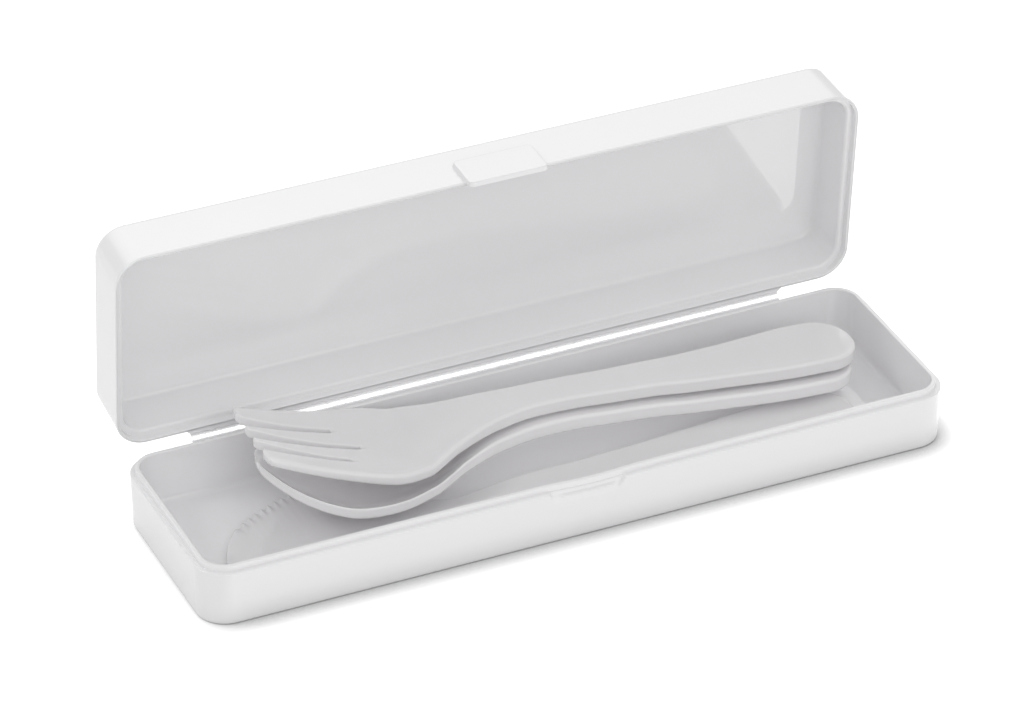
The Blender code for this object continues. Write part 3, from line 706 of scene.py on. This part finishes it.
def smooth(points, at):
    """A smooth curve through (share, size) points, read at one share"""
    x, y = np.array(points, float).T
    slope = level_slopes(x, y)
    i = min(max(int(np.searchsorted(x, at)) - 1, 0), len(x) - 2)
    span = x[i + 1] - x[i]
    t = (at - x[i]) / span
    start = (1 + 2 * t) * (1 - t) ** 2 * y[i] + t * (1 - t) ** 2 * span * slope[i]
    end = t * t * (3 - 2 * t) * y[i + 1] + t * t * (t - 1) * span * slope[i + 1]
    return float(start + end)


def half_width_at(outline, share, length):
    """The outline's half width, rounded off at the handle's end"""
    radius = HANDLE_WIDTH / 2
    to_centre = radius - share * length
    if to_centre <= 0:
        return smooth(outline, share)
    return math.sqrt(radius**2 - to_centre**2)


def end_rows(radius, length):
    """Shares of the length, from an end, at which a round end of this radius needs a row"""
    return [radius * (1 - math.cos(math.radians(angle))) / length for angle in END_ANGLES]


def body_rows(length, last):
    """Even shares of the length from the end of the round handle end to the last"""
    first = HANDLE_WIDTH / 2 / length
    count = round((last - first) * ROWS_PER_LENGTH)
    return [first + (last - first) * k / count for k in range(count + 1)]


def across(low, high, inner_steps):
    """Places across a strip, close together at its two edges"""
    reach = min((high - low) / 4, EDGE_REACH)
    inner = [low + reach + (high - low - 2 * reach) * k / inner_steps for k in range(1, inner_steps)]
    return [low + reach * s for s in EDGE_STEPS] + inner + [high - reach * s for s in reversed(EDGE_STEPS)]


def outline_tree(plan, edges):
    """A search tree of close points along some edges of a grid, or None if there are no edges"""
    points = []
    for (i, j), (m, n) in edges:
        a, b = Vector(plan[i][j]), Vector(plan[m][n])
        count = max(1, math.ceil((b - a).length / OUTLINE_STEP))
        points += [a.lerp(b, k / count) for k in range(count)]
    if not points:
        return None
    tree = KDTree(len(points))
    for k, point in enumerate(points):
        tree.insert((point.x, point.y, 0), k)
    tree.balance()
    return tree


def moulded_piece(name, plan, heights, roundings, is_solid, material):
    """A solid over a grid of (x, y) places, [row][column], with every edge rounded.
    heights gives (top, bottom) before rounding, roundings the rounded share of the thickness
    by row, and is_solid says which cells are filled"""
    rows, columns = len(plan) - 1, len(plan[0]) - 1
    cells = [(i, j) for i in range(rows) for j in range(columns) if is_solid(i, j)]
    solid = set(cells)
    outer, inner = [], []
    for i, j in cells:
        ring = [(i, j), (i + 1, j), (i + 1, j + 1), (i, j + 1)]
        beyond = [(i, j - 1), (i + 1, j), (i, j + 1), (i - 1, j)]
        for k, (m, n) in enumerate(beyond):
            if (m, n) not in solid:
                is_outer = m < 0 or n < 0 or m >= rows or n >= columns
                (outer if is_outer else inner).append((ring[k], ring[(k + 1) % 4]))
    outer_line, inner_line = (outline_tree(plan, edges) for edges in (outer, inner))
    bm = bmesh.new()
    upper, lower = {}, {}
    for i, j in sorted({(i + a, j + b) for i, j in cells for a in (0, 1) for b in (0, 1)}):
        x, y = plan[i][j]
        top, bottom = heights[i][j]
        drop = 0
        for line, radius in ((outer_line, roundings[i] * (top - bottom)), (inner_line, SLOT_EDGE)):
            inwards = min(line.find((x, y, 0))[2] or 0, radius) if line else radius
            drop = max(drop, radius - math.sqrt(radius**2 - (radius - inwards) ** 2))
        upper[i, j] = bm.verts.new((x, y, top - drop))
        lower[i, j] = bm.verts.new((x, y, bottom + drop))
    for i, j in cells:
        ring = [(i, j), (i + 1, j), (i + 1, j + 1), (i, j + 1)]
        bm.faces.new([upper[node] for node in ring])
        bm.faces.new([lower[node] for node in reversed(ring)])
    for a, b in outer + inner:
        bm.faces.new([upper[a], lower[a], lower[b], upper[b]])
    bmesh.ops.recalc_face_normals(bm, faces=bm.faces)
    piece = new_object(name, bm, material)
    finish_mesh(piece, CUTLERY_CREASE)
    return piece


def place_cutlery(piece, x, y, z, yaw, node):
    """Lays a piece of cutlery in the tray, on the body that carries it"""
    piece.data.transform(Matrix.Translation((x, y, z)) @ Matrix.Rotation(-yaw, 4, "Z"))
    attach(piece, "base")
    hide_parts(node)


def slot_half_width(slot, share):
    """Half the gap between two tines: a narrow round end, then slowly wider towards the tips"""
    start = SLOT_STARTS[slot]
    past = (share - start) * FORK_LENGTH
    root = SLOT_ROOT_WIDTH / 2
    if past <= 0:
        return SLOT_CLOSED_WIDTH / 2
    if past < root:
        return max(SLOT_CLOSED_WIDTH / 2, math.sqrt(root**2 - (root - past) ** 2))
    tip = (TINE_PITCH - TINE_TIP_WIDTH) / 2
    return root + (tip - root) * ((share - start) / (1 - start)) ** 2


def fork_rise(share):
    """Height of the fork's upper edges: a low heel, then a sweep up to the tips"""
    if share <= FORK_HEEL:
        return smooth(FORK_RISE, share)
    tip_rise = CEILING_Z - TIP_TO_CEILING - FORK_END_TOP
    swept = ((share - FORK_HEEL) / (1 - FORK_HEEL)) ** FORK_SWEEP
    return FORK_HEEL_RISE + (tip_rise - FORK_HEEL_RISE) * swept


def fork_places(share, half):
    """Places across the fork: four strips for the tines, with a gap for each slot"""
    narrowing = min(1.0, 2 * half / FORK_HEAD_WIDTH)
    edges = [-half]
    for slot in range(len(SLOT_STARTS)):
        centre = (slot - 1) * TINE_PITCH * narrowing
        gap = slot_half_width(slot, share) * narrowing
        edges += [centre - gap, centre + gap]
    edges.append(half)
    radius = TINE_TIP_WIDTH / 2
    from_tip = min((1 - share) * FORK_LENGTH, radius)
    tip = math.sqrt(max(1 - (1 - from_tip / radius) ** 2, 0))
    places = []
    for low, high in zip(edges[::2], edges[1::2]):
        middle, reach = (low + high) / 2, (high - low) / 2 * tip
        places += across(middle - reach, middle + reach, TINE_STEPS)
    return places


def make_fork(material):
    slot_rows = []
    for start in set(SLOT_STARTS):
        slot_rows += [start] + [start + row for row in end_rows(SLOT_ROOT_WIDTH / 2, FORK_LENGTH)]
    tip_rows = [1 - row for row in end_rows(TINE_TIP_WIDTH / 2, FORK_LENGTH)]
    # Even rows keep clear of the rows at the slots' ends
    clear = 1 / ROWS_PER_LENGTH / 3
    even = [s for s in body_rows(FORK_LENGTH, min(tip_rows)) if all(abs(s - r) > clear for r in slot_rows)]
    shares = sorted(end_rows(HANDLE_WIDTH / 2, FORK_LENGTH) + slot_rows + even + tip_rows[:-1])
    plan, heights = [], []
    for share in shares:
        half = half_width_at(FORK_OUTLINE, share, FORK_LENGTH)
        rise = fork_rise(share)
        dish, under, side = (smooth(table, share) for table in (FORK_DISH, FORK_UNDER, FORK_SIDE))
        places = fork_places(share, half)
        hollows = [1 - (y / half) ** 2 for y in places]
        plan.append([(-share * FORK_LENGTH, y) for y in places])
        heights.append([(rise - dish * h, rise - side - under * h) for h in hollows])
    per_tine = len(plan[0]) // (len(SLOT_STARTS) + 1)
    start_rows = [shares.index(start) for start in SLOT_STARTS]

    def is_solid(row, column):
        tine, place = divmod(column, per_tine)
        return place < per_tine - 1 or row < start_rows[tine]

    roundings = [smooth(FORK_ROUNDING, share) for share in shares]
    fork = moulded_piece("fork_moulding", plan, heights, roundings, is_solid, material)
    place_cutlery(fork, FORK_END_X, FORK_END_Y, FORK_END_TOP, CUTLERY_YAW, "fork")


def bowl_half_width(share):
    """The spoon's half width: the outline up to the widest place, then half an ellipse to the tip"""
    if share <= SPOON_WIDEST:
        return half_width_at(SPOON_OUTLINE, share, SPOON_LENGTH)
    out = (share - SPOON_WIDEST) / (1 - SPOON_WIDEST)
    return SPOON_BOWL_WIDTH / 2 * math.sqrt(max(1 - out * out, 0))


def make_spoon(material):
    tip = 1 - SPOON_WIDEST
    tip_rows = [SPOON_WIDEST + tip * math.cos(math.radians(a)) for a in BOWL_TIP_ANGLES]
    handle_rows = end_rows(HANDLE_WIDTH / 2, SPOON_LENGTH)
    shares = sorted(handle_rows + body_rows(SPOON_LENGTH, SPOON_WIDEST) + tip_rows)
    plan, heights = [], []
    for share in shares:
        half = bowl_half_width(share)
        rise = smooth(SPOON_RISE, share)
        dish, under, side = (smooth(table, share) for table in (SPOON_DISH, SPOON_UNDER, SPOON_SIDE))
        places = across(-half, half, BODY_STEPS)
        hollows = [1 - abs(y / half) ** BOWL_ROUNDNESS for y in places]
        plan.append([(-share * SPOON_LENGTH, y) for y in places])
        heights.append([(rise - dish * h, rise - side - under * h) for h in hollows])
    roundings = [HANDLE_ROUNDING] * len(shares)
    spoon = moulded_piece("spoon_moulding", plan, heights, roundings, lambda row, column: True, material)
    x, y = FORK_END_X - SPOON_BACK, FORK_END_Y - SPOON_FORWARD
    place_cutlery(spoon, x, y, SPOON_END_TOP, CUTLERY_YAW, "spoon")


def tooth(share):
    """How far the cutting edge is cut back between two teeth"""
    if not TEETH[0] <= share <= TEETH[1]:
        return 0
    return TOOTH_DEPTH * abs(math.sin(math.pi * (share - TEETH[0]) * KNIFE_LENGTH / TOOTH_PITCH))


def make_knife(material):
    tooth_step = TOOTH_PITCH / TOOTH_ROWS / KNIFE_LENGTH
    tooth_rows = list(np.arange(TEETH[0], TEETH[1], tooth_step))
    tip_rows = [TEETH[1] + (1 - TEETH[1]) * math.sin(math.radians(a)) for a in BLADE_TIP_ANGLES]
    shares = end_rows(HANDLE_WIDTH / 2, KNIFE_LENGTH) + body_rows(KNIFE_LENGTH, TEETH[0])[:-1]
    plan, heights = [], []
    for share in shares + tooth_rows + tip_rows:
        edge = half_width_at(BLADE_EDGE, share, KNIFE_LENGTH) - tooth(share)
        spine = half_width_at(BLADE_SPINE, share, KNIFE_LENGTH)
        side = smooth(KNIFE_SIDE, share)
        thinner = BLADE_THINNING * smoothstep(BLADE_START, BLADE_FULL, share)
        dish = smooth(HANDLE_DISH, share) * smoothstep(BLADE_FULL, BLADE_START, share)
        places = across(-spine, edge, BLADE_STEPS)
        plan.append([(-share * KNIFE_LENGTH, y) for y in places])
        heights.append([])
        groove = SERRATION_DEPTH * tooth(share) / TOOTH_DEPTH
        for y in places:
            hollow = max(1 - (y / spine) ** 2, 0)
            towards_edge = smoothstep(0, edge, y)
            cut = groove * smoothstep(edge - SERRATION_REACH, edge, y)
            heights[-1].append((side - dish * hollow - thinner * towards_edge - cut, 0))
    roundings = [BLADE_ROUNDING] * len(plan)
    knife = moulded_piece("knife_moulding", plan, heights, roundings, lambda row, column: True, material)
    place_cutlery(knife, FORK_END_X - KNIFE_BACK, KNIFE_Y, KNIFE_BOTTOM, 0, "knife")


def moulded_plastic(name, shades, roughness, grain, grain_depth, glow=0.0):
    """An opaque white moulded plastic. Two near shades drift into each other over a few centimetres,
    and a fine grain in the surface breaks up its gloss. The real grain is too fine to show, so it is
    drawn coarser"""
    shade, cloud = map(linear, shades)
    material = bpy.data.materials.new(name)
    material.use_nodes = True
    tree = material.node_tree
    place = add_node(tree, "ShaderNodeTexCoord").outputs["Object"]
    drift = add_node(tree, "ShaderNodeTexNoise", {"Vector": place, "Scale": 1 / CLOUD_SIZE, "Detail": 2.0})
    tint = add_node(
        tree, "ShaderNodeMix", {"Factor": drift.outputs["Fac"], MIX_COLOUR_A: shade, MIX_COLOUR_B: cloud},
        data_type="RGBA",
    )
    patch = add_node(tree, "ShaderNodeTexNoise", {"Vector": place, "Scale": 1 / PATCH_SIZE, "Detail": 3.0})
    gloss = add_node(
        tree, "ShaderNodeMapRange",
        {
            "Value": patch.outputs["Fac"],
            "To Min": roughness - ROUGHNESS_DRIFT,
            "To Max": roughness + ROUGHNESS_DRIFT,
        },
    )
    fine = add_node(tree, "ShaderNodeTexNoise", {"Vector": place, "Scale": 1 / grain, "Detail": 2.0})
    bump = add_node(
        tree, "ShaderNodeBump", {"Height": fine.outputs["Fac"], "Strength": 1.0, "Distance": grain_depth},
    )
    set_inputs(tree, tree.nodes["Principled BSDF"], {
        "Base Color": tint.outputs[MIX_COLOUR_OUT],
        "Roughness": gloss.outputs[0],
        "Normal": bump.outputs["Normal"],
        "IOR": PLASTIC_IOR,
        "Specular IOR Level": POLISHED_LEVEL,
        "Subsurface Weight": glow,
        "Subsurface Radius": [1.0, 1.0, 1.0],
        "Subsurface Scale": GLOW_DEPTH,
    })
    return material


def polypropylene_case(name):
    """White polypropylene, injection moulded in a polished mould: milk white, with soft mirror images"""
    return moulded_plastic(name, CASE_SHADES, CASE_ROUGHNESS, GRAIN_SIZE, GRAIN_DEPTH)


def polypropylene_film():
    """The same polypropylene, pressed thin and bent: light from behind shines through its middle"""
    material = moulded_plastic(
        "polypropylene_film", CASE_SHADES, FILM_ROUGHNESS, FILM_GRAIN_SIZE, FILM_GRAIN_DEPTH,
    )
    tree = material.node_tree
    thinness = add_node(tree, "ShaderNodeAttribute", attribute_name=FILM_THINNESS)
    clear = add_node(
        tree, "ShaderNodeMath", {0: thinness.outputs["Fac"], 1: FILM_CLEARNESS}, operation="MULTIPLY",
    )
    set_inputs(tree, tree.nodes["Principled BSDF"], {"Transmission Weight": clear.outputs[0]})
    return material


def polypropylene_cutlery(name, shades):
    """Thick moulded polypropylene from a finely ground mould: white or a little greyer, with a softer
    gloss than the case's, and light that sinks in a little and evens out its shadows"""
    return moulded_plastic(name, shades, CUTLERY_ROUGHNESS, GRAIN_SIZE, GRAIN_DEPTH, CUTLERY_GLOW)


def by_ray(tree, seen, mirrored, through):
    """A strength for rays from the camera, off a glossy surface and through a clear one, 0 for all others"""
    rays = add_node(tree, "ShaderNodeLightPath").outputs
    strengths = {"Is Camera Ray": seen, "Is Glossy Ray": mirrored, "Is Transmission Ray": through}
    total = 0.0
    for ray, strength in strengths.items():
        inputs = {0: rays[ray], 1: strength, 2: total}
        total = add_node(tree, "ShaderNodeMath", inputs, operation="MULTIPLY_ADD").outputs[0]
    return total


def make_floor():
    """A pale matt floor. The camera, mirror images and the clear film see it lifted to white. A painted
    contact shadow darkens its colour and its lift near the object. Mirror images show it dimmer at the
    left of the case, so that the case's left walls stand out from the white behind them"""
    bm = bmesh.new()
    bmesh.ops.create_grid(bm, x_segments=2, y_segments=2, size=FLOOR_REACH)
    material = bpy.data.materials.new("matt_paper_floor")
    material.use_nodes = True
    tree = material.node_tree
    tree.nodes.clear()
    # Painted contact shadow: occlusion, leaning to the rear and left, darkens the floor's colour and lift
    lean = add_node(tree, "ShaderNodeCombineXYZ", dict(zip("XYZ", Vector(CONTACT_LEAN).normalized())))
    near = add_node(
        tree, "ShaderNodeAmbientOcclusion", {"Normal": lean.outputs[0], "Distance": CONTACT_REACH},
        samples=CONTACT_SAMPLES,
    )
    contact = add_node(
        tree, "ShaderNodeMapRange", {"Value": near.outputs["AO"], "To Min": CONTACT_DARKEST},
    ).outputs[0]
    colour = add_node(
        tree, "ShaderNodeMix",
        {"Factor": contact, MIX_COLOUR_A: linear(BLACK), MIX_COLOUR_B: linear(FLOOR_SHADE)},
        data_type="RGBA",
    )
    matt = add_node(tree, "ShaderNodeBsdfDiffuse", {"Color": colour.outputs[MIX_COLOUR_OUT]})
    place = add_node(tree, "ShaderNodeTexCoord").outputs["Object"]
    parts = add_node(tree, "ShaderNodeSeparateXYZ", {"Vector": place})
    mirrored = add_node(
        tree, "ShaderNodeMapRange",
        {
            "Value": parts.outputs["X"], "From Min": DIM_TO_X, "From Max": FULL_FROM_X,
            "To Min": FLOOR_MIRRORED_DIM, "To Max": FLOOR_MIRRORED,
        },
    )
    strength = by_ray(tree, FLOOR_LIFT, mirrored.outputs[0], FLOOR_THROUGH)
    lift = add_node(tree, "ShaderNodeMath", {0: strength, 1: contact}, operation="MULTIPLY")
    glow = add_node(tree, "ShaderNodeEmission", {"Strength": lift.outputs[0]})
    both = add_node(tree, "ShaderNodeAddShader", {0: matt.outputs[0], 1: glow.outputs[0]})
    add_node(tree, "ShaderNodeOutputMaterial", {"Surface": both.outputs[0]})
    floor = new_object("floor", bm, material)


def make_world():
    """Soft white light from all round, a little stronger from above than from the sides, behind which
    the camera, mirror images and the clear film see plain white"""
    world = bpy.data.worlds.new("studio")
    bpy.context.scene.world = world
    world.use_nodes = True
    tree = world.node_tree
    tree.nodes.clear()
    place = add_node(tree, "ShaderNodeTexCoord").outputs["Generated"]
    parts = add_node(tree, "ShaderNodeSeparateXYZ", {"Vector": place})
    level = add_node(
        tree, "ShaderNodeMapRange",
        {"Value": parts.outputs["Z"], "To Min": WORLD_AT_HORIZON, "To Max": WORLD_ABOVE},
    )
    direct = by_ray(tree, 1.0, 1.0, 1.0)
    strength = add_node(
        tree, "ShaderNodeMix", {"Factor": direct, "A": level.outputs[0], "B": 1.0}, data_type="FLOAT",
    )
    light = add_node(tree, "ShaderNodeBackground", {"Strength": strength.outputs[0]})
    add_node(tree, "ShaderNodeOutputWorld", {"Surface": light.outputs[0]})


def look_from(azimuth, elevation):
    """The direction towards a viewer. Azimuth 0 is in front, at -Y"""
    flat = math.cos(elevation)
    return Vector((math.sin(azimuth) * flat, -math.cos(azimuth) * flat, math.sin(elevation)))


def add_lamp(name, azimuth, elevation, width, depth, power):
    """A soft box that looks at the middle of the case, with its depth along Y. Its light grows towards
    its own middle as x (1 - x) y (1 - y), and LAMP_HUMP brings that to 1 on average"""
    lamp = bpy.data.lights.new(name, "AREA")
    lamp.shape = "RECTANGLE"
    lamp.size = width
    lamp.size_y = depth
    lamp.energy = power
    lamp.use_nodes = True
    tree = lamp.node_tree
    place = add_node(tree, "ShaderNodeNewGeometry").outputs["Parametric"]
    parts = add_node(tree, "ShaderNodeSeparateXYZ", {"Vector": place})
    level = LAMP_HUMP
    for axis in "XY":
        share = parts.outputs[axis]
        rest = add_node(tree, "ShaderNodeMath", {0: 1.0, 1: share}, operation="SUBTRACT").outputs[0]
        hump = add_node(tree, "ShaderNodeMath", {0: share, 1: rest}, operation="MULTIPLY").outputs[0]
        level = add_node(tree, "ShaderNodeMath", {0: hump, 1: level}, operation="MULTIPLY").outputs[0]
    set_inputs(tree, tree.nodes["Emission"], {"Strength": level})
    box = bpy.data.objects.new(name, lamp)
    bpy.context.scene.collection.objects.link(box)
    back = look_from(math.radians(azimuth), math.radians(elevation))
    along = (Vector((0, 1, 0)) - back * back.y).normalized()
    axes = Matrix((along.cross(back), along, back)).transposed()
    box.matrix_world = Matrix.Translation(back * LAMP_DISTANCE) @ axes.to_4x4()


def make_camera():
    data = bpy.data.cameras.new("camera")
    data.lens = CAMERA_LENS
    camera = bpy.data.objects.new("camera", data)
    bpy.context.scene.collection.objects.link(camera)
    direction = look_from(CAMERA_AZIMUTH, CAMERA_ELEVATION)
    camera.location = CAMERA_TARGET + direction * CAMERA_DISTANCE
    camera.rotation_euler = direction.to_track_quat("Z", "Y").to_euler()
    bpy.context.scene.camera = camera


def main():
    make_camera()
    make_floor()
    make_world()
    add_lamp("rear_box", azimuth=180, elevation=42, width=2.2, depth=0.5, power=1.9)
    add_lamp("front_box", azimuth=0, elevation=30, width=1.2, depth=0.6, power=1.8)
    add_lamp("left_box", azimuth=-110, elevation=42, width=0.25, depth=0.25, power=0.9)
    bpy.context.scene.view_settings.view_transform = "Standard"
    bpy.context.scene.cycles.diffuse_bounces = DIFFUSE_BOUNCES
    make_case_base(polypropylene_case("polypropylene_base"))
    make_case_lid(polypropylene_case("polypropylene_lid"))
    make_hinge_film(polypropylene_film())
    make_fork(polypropylene_cutlery("polypropylene_fork", FORK_SHADES))
    make_spoon(polypropylene_cutlery("polypropylene_spoon_painted_lighter", SPOON_SHADES_PAINTED_LIGHTER))
    make_knife(polypropylene_cutlery("polypropylene_knife", KNIFE_SHADES))


main()
